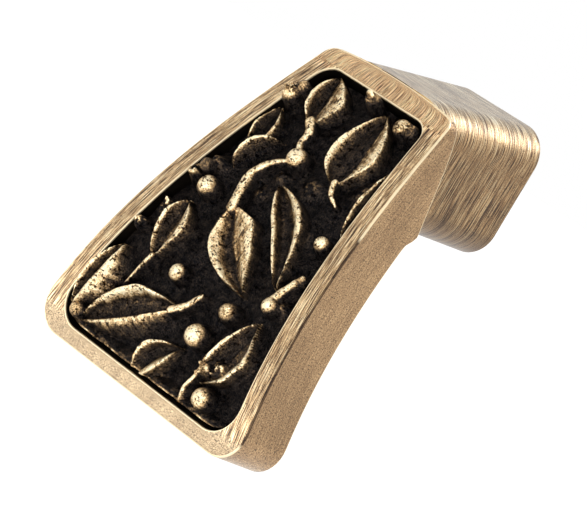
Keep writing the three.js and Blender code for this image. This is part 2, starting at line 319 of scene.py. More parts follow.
flat = places(plate) / MM
bent = on_face(flat[:, 0], -flat[:, 1], flat[:, 2])
y, z, _ = face_line(-flat[:, 1])
behind = flat[:, 2] < BACK_LEVEL / 2
bent[behind, 1] = (back_of(y, z) - (flat[:, 2] - BACK_LEVEL))[behind]
bent[behind, 2] = z[behind]
set_places(plate, bent * MM)
outward(plate)
report_piece(plate)

# %% [markdown]
# ## The mounting block
# The block that carries the plate is a little higher and wider where it stands on the furniture,
# so the two ends are different rounded rectangles and the sides are straight between them. That is
# the draft which lets such a casting out of its mould. It is joined to the plate, since the real
# pull is one casting, and its root lies inside the plate so that no gap shows.

# %% Block
NECK_SIZE = (17.0, 0.45, -14.6)
FOOTING_SIZE = (17.8, 3.2, -13.1)
NECK_BURIED = 0.6
UPPER_CORNER = 3.9
LOWER_CORNER = 3.6
CORNER_POINTS = 17


def block_ring(width, top, bottom, inset, depth_at):
    """A rounded rectangle between two heights, each point at the depth for its height."""
    points = []
    corners = (
        (1, bottom, LOWER_CORNER, -90),
        (1, top, UPPER_CORNER, 0),
        (-1, top, UPPER_CORNER, 90),
        (-1, bottom, LOWER_CORNER, 180),
    )
    for sign, edge, radius, start in corners:
        x = sign * (width / 2 - radius)
        z = edge + radius if edge == bottom else edge - radius
        for angle in np.radians(np.linspace(start, start + 90, CORNER_POINTS)):
            reach = radius - inset
            height = z + reach * math.sin(angle)
            points.append((x + reach * math.cos(angle), depth_at(height), height))
    return np.array(points) * MM


def neck_depth(height):
    down = np.interp(-height, -table_z, table_down)
    return face_line(down)[0] + NECK_BURIED


block, ring = first_ring("mounting_block", block_ring(*NECK_SIZE, 0, neck_depth))
neck_ring = ring
for inset, depth in ((0, -0.35), (0.1, -0.1), (0.35, 0)):
    footing = block_ring(*FOOTING_SIZE, inset, lambda height, level=depth: level)
    ring = next_ring(block, ring, footing)
cap(block, neck_ring)
cap(block, ring)
outward(block)
report_piece(block)

# %% [markdown]
# The screw that holds the pull comes through the drawer front into a blind hole in the block's
# flat face. It is drilled with a pointed bit and has a small countersink, and the thread is cut
# as fine ridges inside it.

# %% Screw hole
HOLE_HEIGHT = -4.9
HOLE_RADIUS = 1.7
HOLE_DEPTH = 12.0
HOLE_SIDES = 48
THREAD_RADIUS = 1.98
THREAD_PITCH = 0.7
THREAD_TURNS = 14


def circle_ring(radius, y):
    angle = np.linspace(0, 2 * math.pi, HOLE_SIDES, endpoint=False)
    height = HOLE_HEIGHT + radius * np.sin(angle)
    return np.stack([radius * np.cos(angle), np.full(HOLE_SIDES, y), height], 1) * MM


profile = [(2.7, 0.5), (HOLE_RADIUS, -0.5)]
for turn in range(THREAD_TURNS):
    start = -0.6 - turn * THREAD_PITCH
    profile.append((HOLE_RADIUS, start))
    profile.append((THREAD_RADIUS, start - 0.3 * THREAD_PITCH))
    profile.append((HOLE_RADIUS, start - 0.62 * THREAD_PITCH))
profile += [(HOLE_RADIUS, -HOLE_DEPTH), (0.1, -HOLE_DEPTH - 0.8)]
drill, ring = first_ring("drill", circle_ring(*profile[0]))
mouth = ring
for radius, y in profile[1:]:
    ring = next_ring(drill, ring, circle_ring(radius, y))
cap(drill, mouth)
cap(drill, ring)
outward(drill)

apply_boolean(plate, block, "UNION")
apply_boolean(plate, drill, "DIFFERENCE")
report_piece(plate)

# %% [markdown]
# The recess is cut last, through plate and block root alike, by a cutter that follows the bend of
# the face. Its mouth flares, so the recess's rim is rounded like the outer edges, and weighted
# normals keep the broad faces flat up to those narrow roundings.

# %% Recess
RECESS_DEPTH = 3.0
FLOOR_ROUND = 0.25
RIM = 0.2
cutter_rings = [
    (recess_outline(-FLOOR_ROUND), -RECESS_DEPTH),
    (recess_outline(0), -RECESS_DEPTH + FLOOR_ROUND),
    (recess_outline(0), -RIM),
    (recess_outline(0.3 * RIM), -0.3 * RIM),
    (recess_outline(RIM), 0),
    (recess_outline(RIM + 0.1), 0.8),
]
cutter, ring = first_ring("recess_cutter", ring_of(*cutter_rings[0]))
floor_ring = ring
for rows, level in cutter_rings[1:]:
    ring = next_ring(cutter, ring, ring_of(rows, level))
cap_in_rows(cutter, floor_ring)
cap_in_rows(cutter, ring)
flat = places(cutter) / MM
set_places(cutter, on_face(flat[:, 0], -flat[:, 1], flat[:, 2]) * MM)
outward(cutter)
apply_boolean(plate, cutter, "DIFFERENCE")
smooth(plate, 40)
bpy.ops.object.modifier_add(type="WEIGHTED_NORMAL")
modifier = plate.modifiers[-1]
modifier.keep_sharp = True
modifier.weight = 100
bpy.ops.object.modifier_apply(modifier=modifier.name)
report_piece(plate)

# %% [markdown]
# ## The leaves and berries
# The panel is a second casting, glued or soldered into the recess. Its pattern was carved, so the
# shapes are soft on their inner sides and cut steeply down to the ground on their outer sides.
# The whole relief is one sheet of fine points whose heights are worked out shape by shape, as a
# carver takes a board down between the leaves: leaves with two halves on a groove, berries as
# domes, stems as half-round rods.
#
# Places are given as across and down on the face, in millimetres. A leaf has its stem end, its tip,
# the sideways bend of its midrib, its two halves, and how far along it is widest. A half has the
# reach of its crest from the midrib, the crest's height, and the width of the band beside the crest
# that rises. It may also have the width of its outer slope and the share of that slope's rubbing.

# %% Where the leaves lie
GROUND = -1.5
APRON = 0.45
LEAVES = [
    ([-4.1, 9.7], [-6.5, 2.8], 0.1, [1.5, 1.9, 0.6], [3.1, 1.9, 2.9], 0.45),
    ([5, 14.1], [2.6, 3.6], -0.7, [3.4, 1.9, 0.8], [2.6, 2.1, 2.5], 0.36),
    ([-8.4, 15.7], [-9.2, 9.6], 0, [1.1, 1.3, 0.3], [1.6, 1.3, 0.4], 0.45),
    ([-8, 18.6], [-5.1, 13.1], 0.4, [1.1, 2.1, 0.6], [0.35, 1, 0], 0.5),
    ([-3.4, 22.6], [5.5, 30], -0.85, [3.2, 2.1, 2.6], [2.1, 2, 1.3], 0.4),
    ([8.7, 27.3], [-0.8, 17.3], -1, [1.3, 1.9, 0.6], [2, 2, 1.3], 0.6),
    ([9.3, 8.9], [10.3, 18.2], 0, [0.5, 1.0, 0], [0.7, 1.2, 0.4], 0.5),
    ([-8.2, 32.4], [-9.2, 24.7], 0, [1.3, 1.9, 0.55], [2.4, 2, 2], 0.62),
    ([-12.1, 32.9], [-14, 42.2], -0.3, [1.3, 2.6, 1.25, 1.7], [0.8, 2.4, 0.5], 0.5),
    ([-0.6, 35.4], [-12, 42.9], 0.5, [0.45, 2, 0.4, 1.9, 0.5], [3.4, 2.1, 1.1], 0.48),
    ([-1.3, 44.6], [3, 38.7], 0.6, [1.8, 1.9, 0.6], [1.5, 1.9, 1.4], 0.45),
    ([7.5, 40.4], [9.9, 31.4], -0.6, [1.5, 1.9, 0.55], [2.7, 1.8, 1.3], 0.42),
]
print("leaves:", len(LEAVES))

# %% [markdown]
# A berry has its centre, radius, height and rubbing. A stem has the points it runs through, its
# radius at the first and the last of them, and its height. Crumbs are rubbed lumps of metal with a
# radius and a lift. Mounds are soft swellings of the ground, with a radius and a height.

# %% Where the berries, stems and lumps lie
BERRIES = [
    ([-1.15, 14], 1.4, 2.6, 1), ([5.9, 4.1], 1.2, 2.1, 0.8), ([7.1, 3.9], 0.95, 1.9, 0.7),
    ([0.5, 3.4], 0.95, 2.7, 0.8), ([-8.2, 6.6], 0.9, 2.5, 0.5), ([-8.7, 8.1], 1.15, 2.8, 0.95),
    ([-7.9, 22.3], 1.35, 2.6, 1), ([-10.3, 20.4], 1, 2.2, 0.3), ([9.9, 20.4], 1, 2.1, 1),
    ([-3.3, 32.1], 1.15, 2.2, 1), ([5.9, 32.4], 1.2, 2.2, 0.75), ([4.1, 36.5], 1.5, 2.5, 1),
    ([9.7, 41.6], 1.35, 2.5, 0.95), ([10.2, 29.2], 1.05, 2.4, 1), ([-12.8, 42.1], 1.05, 2.1, 0.6),
]
STEMS = [
    ([[-4, 9.4], [-2.8, 10.7], [-2.7, 12.2], [-1.6, 13.6]], 0.7, 0.3, 1.8),
    ([[5.1, 13.8], [5.9, 15.2], [7.4, 16]], 0.45, 0.2, 1.7),
    ([[-1.4, 14.8], [-3.1, 16], [-4.1, 17.3], [-4.6, 19], [-3.4, 22.7]], 0.3, 0.75, 2.1),
    ([[-7.9, 32.2], [-8.4, 34], [-9, 36.4]], 0.35, 0.12, 1.6),
    ([[-0.8, 35.9], [0.7, 34.4], [1.5, 32.7]], 0.5, 0.4, 1.9),
    ([[7.6, 39.2], [7, 40.6], [6.5, 41.8], [6.6, 43.4]], 0.3, 0.28, 1.8),
    ([[10, 28.6], [10.4, 26.8], [11.1, 24.7]], 0.65, 0.45, 2.0),
]
CRUMBS = [
    ([-10.9, 21.8], 1.1, 1.6), ([-11.1, 26.4], 0.8, 1.1), ([-12.1, 30], 1.1, 1.6),
    ([-8.9, 7.6], 1.2, 0.5), ([7.3, 38.9], 1.2, 0.5), ([9, 38.2], 1.2, 0.5),
    ([0.4, 3.6], 0.9, 0.5), ([11.1, 25.1], 0.5, 0.5), ([7.2, 3.9], 0.9, 0.5),
]
MOUNDS = [
    ([-4.8, 17.8], 1.5, 0.8), ([-1.8, 16.3], 1.1, 0.6), ([-9.9, 19.2], 1.3, 1.9),
    ([8.3, 12.5], 1.5, 0.6), ([-2.6, 19.2], 1.2, 0.5), ([2.2, 15.4], 1.6, 0.5),
    ([-6.5, 37.5], 1.3, 0.6), ([12.6, 26.6], 1.1, 0.9), ([1.6, 42.6], 1.3, 0.6),
    ([-11.9, 27.2], 1.3, 0.9), ([11.4, 36], 1.6, 0.6), ([11, 28.6], 1.0, 1.3),
    ([6.4, 21], 1.3, 0.5),
]
print("berries:", len(BERRIES), "stems:", len(STEMS), "lumps:", len(CRUMBS) + len(MOUNDS))

# %% [markdown]
# Nothing in a carving is quite even. Two small rules serve everywhere below: a step with soft ends,
# and a soft noise that is the same on every run, since its numbers come from a seed.

# %% Soft step and soft noise
def step(low, high, value):
    share = np.clip((value - low) / (high - low), 0, 1)
    return share * share * (3 - 2 * share)


def value_noise(x, y, size, seed):
    """Soft noise from 0 to 1 with lumps of the given size."""
    table = np.random.default_rng(seed).random((256, 256))
    u, v = x / size + 100, y / size + 100
    i, j = np.floor(u).astype(int), np.floor(v).astype(int)
    fu, fv = u - i, v - j
    fu, fv = fu * fu * (3 - 2 * fu), fv * fv * (3 - 2 * fv)
    a, b = table[i % 256, j % 256], table[(i + 1) % 256, j % 256]
    c, d = table[i % 256, (j + 1) % 256], table[(i + 1) % 256, (j + 1) % 256]
    return (a * (1 - fu) + b * fu) * (1 - fv) + (c * (1 - fu) + d * fu) * fv


# %% [markdown]
# A leaf is carved in two halves. Each rises from the groove in the middle to a crest near its
# outer side and falls from there to the ground. Veins run along the leaf, and finer marks of the
# chisel cross it. Where the crest stands up, the cloth later rubs the dark finish away, so every
# rule gives a height and a rubbing.

# %% Rule for a leaf
CREST_EASE = 0.08
CREST_SLOPE = 0.28
FULL_BAND = 0.45


def leaf_width(share, widest):
    """A leaf's width along its length, from 0 to 1: round at its stem, drawn out at its tip."""
    near = np.sin(math.pi / 2 * np.clip(share / widest, 0, 1)) ** 0.8
    far = np.cos(math.pi / 2 * np.clip((share - widest) / (1 - widest), 0, 1)) ** 0.95
    return near * far


def half_profile(groove, reach, crest, band, wall=APRON, rubbed=1.0):
    """Places across one half of a leaf, and the share of crest height and the rubbing there."""
    inner = max(reach - band, CREST_EASE)
    slope = max(reach - CREST_SLOPE - inner, 0.05)
    low = groove / crest + 0.06
    broad = step(0.9, 1.9, band)
    rim = reach + CREST_EASE
    where = [0, inner, inner + 0.35 * slope, inner + 0.7 * slope, inner + slope, rim]
    where += [rim + wall * part for part in (0.3, 0.65, 1.0)]
    heights = [groove / crest, low, low + (1 - low) * 0.42, low + (1 - low) * 0.76, 0.95, 1.0]
    heights += [0.8, 0.4, 0.0]
    rubs = [0.3 * (inner < 0.15) + 0.02, 0.12 + 0.35 * broad, 0.65 - 0.05 * broad]
    rubs += [0.9 - 0.2 * broad, 1.0, 1.0, 0.8 * rubbed, 0.4 * rubbed, 0.0]
    return where, heights, rubs


def leaf_height(x, y, stem, tip, bend, left, right, widest):
    """Height and rubbing of one leaf at every point of the sheet."""
    start = np.array([stem[0], -stem[1]])
    run = np.array([tip[0], -tip[1]]) - start
    length = math.hypot(*run)
    way = run / length
    share = ((x - start[0]) * way[0] + (y - start[1]) * way[1]) / length
    inside = np.clip(share, 0.0, 1.0)
    midrib = bend * np.sin(math.pi * inside)
    lateral = -(x - start[0]) * way[1] + (y - start[1]) * way[0] - midrib
    width = leaf_width(inside, widest)
    spread = 0.05 + 0.95 * width
    rise = 0.45 + 0.55 * width ** 0.6
    beyond = np.maximum(np.maximum(-share, share - 1) * length, 0)
    wave = value_noise(inside * 6 + 7 * stem[0], np.sign(lateral) + 3.5, 1.0, 11)
    wave = 1 + 0.2 * (wave - 0.5)
    place = np.abs(lateral) / spread / wave
    groove = 0.1 * (left[1] + right[1])
    height = np.zeros_like(x)
    polish = np.zeros_like(x)
    for sign, half in ((1, left), (-1, right)):
        mine = lateral * sign >= 0
        crest, band = half[1:3]
        worn = min(1.0, band / FULL_BAND)
        where, heights, rubs = half_profile(groove, *half)
        height = np.where(mine, np.interp(place, where, heights) * crest * rise, height)
        polish = np.where(mine, np.interp(place, where, rubs) * worn, polish)
    veins = value_noise(share * length * 0.5, lateral * 3.4 + 9 * stem[1], 1.0, 21) - 0.5
    cuts = share * length * 3.4 + np.abs(lateral) * 1.5
    hatch = value_noise(cuts, lateral * 0.8 + 9 * stem[1], 1.0, 27) - 0.5
    height += (0.14 * veins + 0.05 * hatch) * (height > 0.3)
    worn_share = np.minimum(polish * 2, 1)
    ridges = 0.35 * np.maximum(veins - 0.2, 0)
    polish = polish + 0.6 * hatch * worn_share + 0.3 * veins * worn_share + ridges
    polish = np.clip(polish, -0.15, 1)
    fade = 1 - step(0, 0.3, beyond)
    return height * fade, polish * fade


# %% [markdown]
# Berries are domes with a steep skirt, as a round punch leaves them. Stems are rods of the same
# section, drawn along a smooth line through a few points, and they get thinner or thicker on the way.

# %% Rules for berries and stems
def dome(distance, radius, top):
    inside = np.minimum(distance / radius, 1)
    height = top - radius + radius * np.sqrt(1 - inside ** 2)
    wall = 1 - step(radius - 0.02, radius + 0.16, distance)
    return height * wall, np.clip(1.15 - 1.05 * inside ** 2.2, 0, 1) * wall


def smooth_line(along):
    """Points of a smooth curve through the given ones, eight to a stretch."""
    points = np.array(along, dtype=float) * [1, -1]
    first = 2 * points[0] - points[1]
    last = 2 * points[-1] - points[-2]
    ends = np.concatenate([[first], points, [last]])
    line = []
    for a, b, c, d in zip(ends, ends[1:], ends[2:], ends[3:]):
        for t in np.linspace(0, 1, 9)[:-1]:
            bow = (2 * a - 5 * b + 4 * c - d) * t ** 2
            line.append(0.5 * (2 * b + (c - a) * t + bow + (3 * b - a - 3 * c + d) * t ** 3))
    line.append(points[-1])
    return line


def stem_distance(x, y, along):
    """Distance from a smooth line through the points, and the share of its length there."""
    line = smooth_line(along)
    best = np.full(x.shape, 1e9)
    where = np.zeros_like(x)
    for i, (a, b) in enumerate(zip(line, line[1:])):
        way = b - a
        share = np.clip(((x - a[0]) * way[0] + (y - a[1]) * way[1]) / way.dot(way), 0, 1)
        distance = np.hypot(x - a[0] - share * way[0], y - a[1] - share * way[1])
        where = np.where(distance < best, (i + share) / (len(line) - 1), where)
        best = np.minimum(best, distance)
    return best, where


def stem_height(x, y, along, first, last, top):
    distance, where = stem_distance(x, y, along)
    radius = first + (last - first) * where
    knobs = 0.85 + 0.3 * value_noise(where * 9, radius, 1.0, 31)
    height, polish = dome(distance, radius * knobs, top)
    return height * (1 - 0.25 * where), polish * 0.9


# %% [markdown]
# All shapes meet in one height field: at each point the tallest of them counts, as in a real
# carving, where one leaf hides what lies under it. Mounds come first and crumbs last.

# %% The whole carving
def relief(x, y):
    """Height over the ground and rubbing of every point of the sheet."""
    height = np.zeros_like(x)
    polish = np.zeros_like(x)
    lumps = value_noise(x, y, 0.35, 41)
    for at, radius, top in MOUNDS:
        swell = np.exp(-((x - at[0]) ** 2 + (y + at[1]) ** 2) / (radius * 0.75) ** 2)
        height = np.maximum(height, top * swell)
        polish = np.maximum(polish, 0.34 * swell * (lumps > 0.5))
    shapes = [leaf_height(x, y, *leaf) for leaf in LEAVES]
    for at, radius, top, rubbed in BERRIES:
        tall, rub = dome(np.hypot(x - at[0], y + at[1]), radius, top)
        shapes.append((tall, rub * rubbed))
    shapes += [stem_height(x, y, *stem) for stem in STEMS]
    for tall, rub in shapes:
        polish = np.where(tall > height, rub, polish)
        height = np.maximum(height, tall)
    for at, radius, lift in CRUMBS:
        near = 1 - step(0.5 * radius, 1.1 * radius, np.hypot(x - at[0], y + at[1]))
        height = height + near * (1.3 * np.maximum(lumps - 0.35, 0) + lift * (height < 0.5))
        kept = polish * (1 - 0.5 * near * (lumps < 0.5))
        polish = np.maximum(kept, near * step(0.5, 0.7, lumps))
    return height, polish


# %% [markdown]
# ## The panel
# The panel starts as a flat grid of fine points drawn into its tapered outline, a little smaller
# than the recess, so that a dark gap stays around it. The carving then lifts each point.

# %% Grid and carving
ACROSS, ALONG = 240, 352
PANEL_TOP = 2.7
PANEL_SIDE = 2.75
PANEL_FOOT = 43.55
deselect()
bpy.ops.mesh.primitive_grid_add(x_subdivisions=ACROSS, y_subdivisions=ALONG, size=2 * MM)
panel = bpy.context.object
panel.name = panel.data.name = "relief_casting"
grid = places(panel) / MM
edge = outline(PANEL_TOP, PANEL_FOOT, PANEL_SIDE, 2.0, 3.1)
down = PANEL_TOP + (PANEL_FOOT - PANEL_TOP) * (1 - grid[:, 1]) / 2
across = grid[:, 0] * np.interp(down, edge[:, 1], edge[:, 0])
height, polish = relief(across, -down)
print("grid points:", len(grid))

# %% [markdown]
# Sand leaves small pits and lumps on a casting, so noise goes on top: coarse and low on the ground,
# fine on the high parts. Along the foot the panel ends in a rough lip. Steep slopes keep their
# dark finish, since the cloth doesn't reach them.

# %% Casting skin and lip
sheet = (ALONG + 1, ACROSS + 1)
rise_across = np.gradient(height.reshape(sheet), axis=1) / np.gradient(across.reshape(sheet), axis=1)
rise_down = np.gradient(height.reshape(sheet), axis=0) / np.gradient(down.reshape(sheet), axis=0)
steep = np.hypot(rise_across, rise_down).ravel()
polish *= 1 - 0.7 * step(1.3, 3.2, steep)
pits = value_noise(across, down, 0.2, 3) ** 3
lumps = value_noise(across, down, 0.9, 5) - 0.5
lip_height = 0.7 + 0.5 * value_noise(across, down, 1.1, 19)
height = np.maximum(height, 0.95 * step(42.0, 43.2, down) * lip_height)
lip = step(43.28, 43.45, down) * value_noise(across, down, 0.7, 17)
polish = np.maximum(polish, 0.9 * lip)
speckle = value_noise(across, down, 0.3, 23) > 0.55
polish = np.maximum(polish, 0.3 * step(42.2, 43.4, down) * speckle)
hollows = value_noise(across, down, 2.1, 8) - 0.5
height += (0.16 * lumps + 0.5 * hollows) * (1 - np.clip(polish * 1.5, 0, 1))
height += 0.1 * lumps * polish - 0.09 * pits * polish
set_places(panel, np.stack([across, -down, GROUND + height], 1) * MM)
print("relief: highest %.2f mm over the ground" % height.max())

# %% [markdown]
# The panel is a solid plate, not a skin. Its rim goes down to a flat back, and the back is cut into
# 24 strips, so that it can follow the bend.

# %% Sides and back of the panel
PANEL_BACK = -2.7
BACK_STRIPS = 24
rim = (np.abs(grid[:, 0]) > 0.99999) | (np.abs(grid[:, 1]) > 0.99999)
pick(panel, np.flatnonzero(rim))
bpy.ops.mesh.extrude_region_move()
bpy.ops.object.mode_set(mode="OBJECT")
grown = places(panel)
new = np.arange(len(grid), len(grown))
grown[new, 2] = PANEL_BACK * MM
set_places(panel, grown)
pick(panel, new)
bpy.ops.mesh.edge_face_add()
for place in np.linspace(PANEL_TOP, PANEL_FOOT, BACK_STRIPS + 1)[1:-1]:
    bpy.ops.mesh.bisect(plane_co=(0, -place * MM, 0), plane_no=(0, 1, 0), threshold=1e-9)
    bpy.ops.mesh.select_all(action="DESELECT")
    bpy.ops.object.mode_set(mode="OBJECT")
    low = places(panel)[:, 2] < (PANEL_BACK + 0.01) * MM
    pick(panel, np.flatnonzero(low))
bpy.ops.object.mode_set(mode="OBJECT")
report_piece(panel)

# %% [markdown]
# Two things are kept with each point for the material: how far it is rubbed bright, and its place
# on the flat panel, which carries the noise. Then the panel is bent like the plate.

# %% Marks of the panel, and its bend
flat = places(panel) / MM
rub = np.zeros(len(flat))
rub[: len(grid)] = polish
layer = panel.data.attributes.new("polish", "FLOAT", "POINT")
layer.data.foreach_set("value", rub)
spots = np.stack([flat[:, 0], -flat[:, 1], flat[:, 2]], 1)
layer = panel.data.attributes.new("grain", "FLOAT_VECTOR", "POINT")
layer.data.foreach_set("vector", np.ascontiguousarray(spots).ravel())
set_places(panel, on_face(flat[:, 0], -flat[:, 1], flat[:, 2]) * MM)
outward(panel)
smooth(panel, 60)
report_piece(panel)

# %% [markdown]
# ## Brushed brass
# The brush marks run down the face and along the sides of the plate, and across the block. The
# material has to know which way they run, and which part of the casting it is on. So every face is
# sorted first: block, edge, recess or plain border.

# %% Sort the faces
BORDER_TOP_END = 3.0
FOOT_START = 43.2
mesh = plate.data
points = places(plate) / MM


def face_kind(polygon):
    """Where a face lies on the casting, and which part it belongs to."""
    normal = polygon.normal
    centre = np.mean(points[list(polygon.vertices)], axis=0)
    along = np.interp(-centre[2], -table_z, table_down)
    face_y, _, lean = face_line(along)
    back = float(back_of(face_y, centre[2]))
    depth = (centre[1] - face_y) * math.cos(lean)
    facing = -normal.y * math.cos(lean) + normal.z * math.sin(lean)
    in_hole = math.hypot(centre[0], centre[2] - HOLE_HEIGHT) < 2.0 and centre[1] > -14
    in_recess = 0.2 < depth < 3.1 and along > 1.5 and centre[1] < -15.9
    in_recess = in_recess and abs(centre[0]) < half_width(along, 2.0)
    on_block = centre[1] > back + 0.05 and abs(centre[0]) < 9.2
    front_edge = -0.05 < depth < 0.45 and 0.15 < facing < 0.985
    back_edge = abs(centre[1] - back) < 1.2 * EDGE and 0.2 < abs(normal.x) < 0.98
    return {
        "normal": normal, "along": along, "depth": depth, "facing": facing, "block": on_block,
        "dark": in_recess or in_hole, "edge": (front_edge or back_edge) and not on_block,
        "side_border": 2.4 < along < 44 and not on_block,
    }


faces = [face_kind(polygon) for polygon in mesh.polygons]
print("faces on the block:", sum(bool(face["block"]) for face in faces))

# %% [markdown]
# Six marks go to the corners of the faces. Grain is the place in millimetres, turned so that its
# second number runs along the brush marks. Dark is 1 in the recess and the screw hole. Calm is high
# where the surface is plain and low where brush marks are deep. Edge is 1 on the edges, which are
# rubbed pale by wear and also carry a painted highlight, and pitted is 1 on the border at the foot.
# The last mark is a factor of the colour that paints light and shade in: painted shade on the block,
# darker the more a face turns down, with a painted cool reflection on its top, a painted pale
# highlight on the border at the foot, a painted warm highlight on the top border and a painted dark
# line of shade along the right front edge. It was set for the one picture this pull is known from,
# so under another light it may need to go back to 1.

# %% Rules for the corners
# Painted shade on the block: the more a face turns down, the darker its colour, from 0.36 under it; a
# painted cool reflection tints its top.
BLOCK_PAINTED_LIGHT = [
    (-1.0, (0.36, 0.32, 0.28)), (-0.2, (0.42, 0.37, 0.32)), (0.0, (0.59, 0.52, 0.44)),
    (0.6, (0.9, 0.85, 0.8)), (1.0, (0.8, 0.87, 1.0)),
]
# Painted pale bluish highlight on the border at the foot.
FOOT_PAINTED_HIGHLIGHT = (1.08, 1.26, 1.5)
# Painted warm highlight on the top border.
TOP_PAINTED_HIGHLIGHT = (1.18, 1.02, 0.9)
# Painted dark line of shade along the right front edge.
SHADE_LINE_TINT = (0.22, 0.18, 0.15)


def corner_grain(face, along, x, y, z):
    if face["block"] and face["normal"].y > 0.7:
        return (x, 0.4 * z, 90)
    if face["block"]:
        return (1.25 * y, 0.7 * (z - x), 60)
    across = x - math.copysign(half_width(along, 0), x) if face["side_border"] else x
    inward = 0 if face["normal"].y > 0.5 else y - face_line(along)[0]
    return (across + 30 * (x > 0), along, inward)


def corner_calm(face, along, on_foot):
    behind = face["normal"].y > 0.5
    if face["block"] or behind:
        return 0.55 if behind else 0.05
    if on_foot:
        return 1.0
    if face["facing"] > 0.9:
        return 0.25 if along > BORDER_TOP_END else -0.7
    return min(1.0, 1.2 * abs(face["normal"].x))


# The painted light of a corner: painted shade and a painted reflection on the block, painted highlights
# on the foot and top borders, and none elsewhere.
def corner_painted_light(face, along, on_foot):
    if face["block"]:
        heights, tints = zip(*BLOCK_PAINTED_LIGHT)
        return [np.interp(face["normal"].z, heights, channel) for channel in zip(*tints)]
    if on_foot:
        return FOOT_PAINTED_HIGHLIGHT
    if face["facing"] > 0.9 and along < BORDER_TOP_END:
        return TOP_PAINTED_HIGHLIGHT
    return (1, 1, 1)


print("tints on the block:", len(BLOCK_PAINTED_LIGHT))

# %% Mark the corners
marks = {name: np.zeros(len(mesh.loops)) for name in ("dark", "calm", "edge", "pitted")}
marks = {"grain": np.zeros((len(mesh.loops), 3)), **marks, "painted_light": np.ones((len(mesh.loops), 3))}
for polygon, face in zip(mesh.polygons, faces):
    for loop in polygon.loop_indices:
        x, y, z = points[mesh.loops[loop].vertex_index]
        along = face["along"] if face["block"] else np.interp(-z, -table_z, table_down)
        on_foot = 0 < along - FOOT_START and face["facing"] > 0.5
        # Along the right front edge a painted dark line of shade takes the place of the pale edge.
        on_right_front = face["depth"] < 0.3 and x > half_width(along, 1) and 18 < along < 43
        shaded = face["edge"] and on_right_front
        marks["grain"][loop] = corner_grain(face, along, x, y, z)
        marks["dark"][loop] = face["dark"]
        marks["pitted"][loop] = on_foot
        marks["calm"][loop] = corner_calm(face, along, on_foot)
        marks["edge"][loop] = face["edge"] and not shaded
        marks["painted_light"][loop] = SHADE_LINE_TINT if shaded else corner_painted_light(face, along, on_foot)
for name, values in marks.items():
    kind, field = ("FLOAT_VECTOR", "vector") if values.ndim == 2 else ("FLOAT", "value")
    layer = mesh.attributes.new(name, kind, "CORNER")
    layer.data.foreach_set(field, values.ravel())
print("edge corners:", int(marks["edge"].sum()))
print("dark corners:", int(marks["dark"].sum()))


# %% [markdown]
# The materials are built from a few kinds of node again and again: noise drawn out in one
# direction, as a brush draws its marks, a ramp that turns a number into a colour, and sums.

# %% Material tools
def new_material(name):
    material = bpy.data.materials.new(name)
    material.use_nodes = True
    nodes, links = material.node_tree.nodes, material.node_tree.links
    return material, nodes, links, nodes["Principled BSDF"]


def attribute(nodes, name):
    node = nodes.new("ShaderNodeAttribute")
    node.attribute_name = name
    return node


def stretched_noise(nodes, links, vector, scale, detail):
    mapping = nodes.new("ShaderNodeMapping")
    mapping.inputs["Scale"].default_value = scale
    links.new(vector, mapping.inputs["Vector"])
    noise = nodes.new("ShaderNodeTexNoise")
    noise.inputs["Scale"].default_value = 1.0
    noise.inputs["Detail"].default_value = detail
    links.new(mapping.outputs["Vector"], noise.inputs["Vector"])
    return noise.outputs["Fac"]


def ramp(nodes, links, value, stops):
    node = nodes.new("ShaderNodeValToRGB")
    while len(node.color_ramp.elements) < len(stops):
        node.color_ramp.elements.new(0.5)
    for element, (position, colour) in zip(node.color_ramp.elements, stops):
        element.position = position
        element.color = (*colour, 1)
    links.new(value, node.inputs["Fac"])
    return node.outputs["Color"]


def maths(nodes, links, operation, first, second):
    node = nodes.new("ShaderNodeMath")
    node.operation = operation
    for socket, value in zip(node.inputs, (first, second)):
        if isinstance(value, (int, float)):
            socket.default_value = value
        else:
            links.new(value, socket)
    return node.outputs["Value"]


def scale_add(nodes, links, value, factor, offset):
    """The value times a factor, plus an offset."""
    result = maths(nodes, links, "MULTIPLY_ADD", value, factor)
    result.node.inputs[2].default_value = offset
    return result


def mix_colour(nodes, links, share, first, second, blend="MIX"):
    node = nodes.new("ShaderNodeMix")
    node.data_type = "RGBA"
    node.blend_type = blend
    if isinstance(share, (int, float)):
        node.inputs[0].default_value = share
    else:
        links.new(share, node.inputs[0])
    for socket, value in ((node.inputs[6], first), (node.inputs[7], second)):
        if isinstance(value, tuple):
            socket.default_value = (*value, 1)
        else:
            links.new(value, socket)
    return node.outputs[2]


def add_bump(nodes, links, shader, value, strength, distance):
    node = nodes.new("ShaderNodeBump")
    node.inputs["Strength"].default_value = strength
    node.inputs["Distance"].default_value = distance
    links.new(value, node.inputs["Height"])
    links.new(node.outputs["Normal"], shader.inputs["Normal"])


# %% [markdown]
# Brushed brass is a row of fine scratches, each with its own tone from dark brown to pale gold. The
# ramp below turns the mixed noise into those tones. Small pits stay dark, broken edges are rubbed
# pale by wear and also get a painted highlight, and the recess and the hole are nearly black. A
# factor paints light and shade into the colour. The scratches also give a low bump, and a clear
# lacquer lies over all of it.

